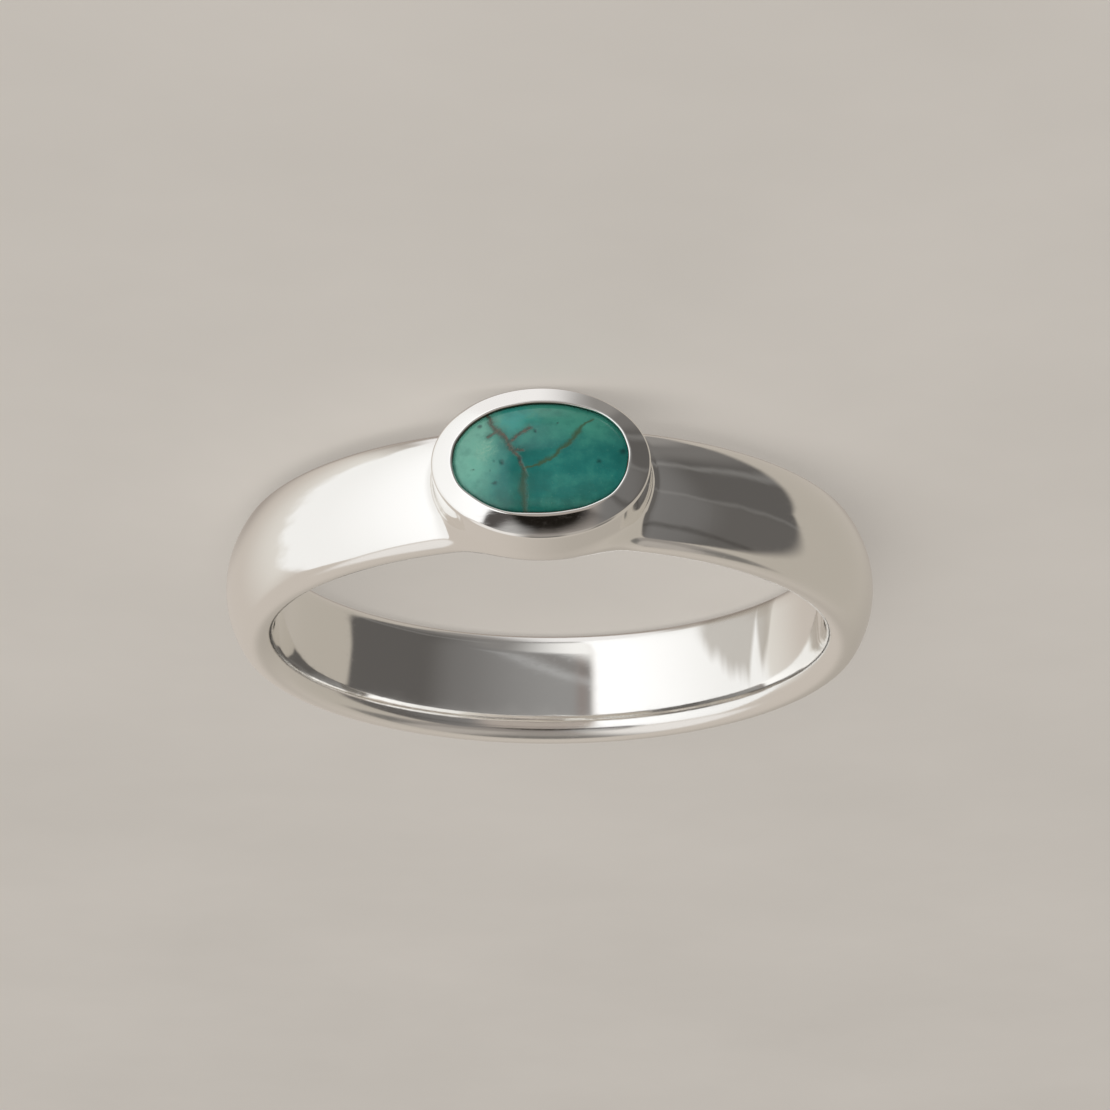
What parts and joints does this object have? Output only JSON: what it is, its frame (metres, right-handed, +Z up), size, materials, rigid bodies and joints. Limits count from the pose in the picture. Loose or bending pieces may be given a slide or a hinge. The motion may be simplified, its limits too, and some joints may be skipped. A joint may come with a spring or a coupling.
{
  "type": "turquoise ring",
  "caption": "Finger ring with a plain domed silver shank and an oval turquoise cabochon set lengthways in a raised bezel.",
  "frame": {"origin": "centre of the finger hole, on its axis and midway across the shank's width", "axes": "+Z up, along the finger hole to within 1.6 degrees, because the ring lies on its side and leans on the bezel's foot; the stone faces -Y; +X along the stone's length"},
  "size_m": [0.0202, 0.0221, 0.0048],
  "materials": {
    "silver": "polished sterling silver",
    "turquoise": "polished, with brown veins of matrix"
  },
  "bodies": {
    "root": {"shank_and_bezel": "silver", "cabochon": "turquoise"}
  },
  "joints": []
}
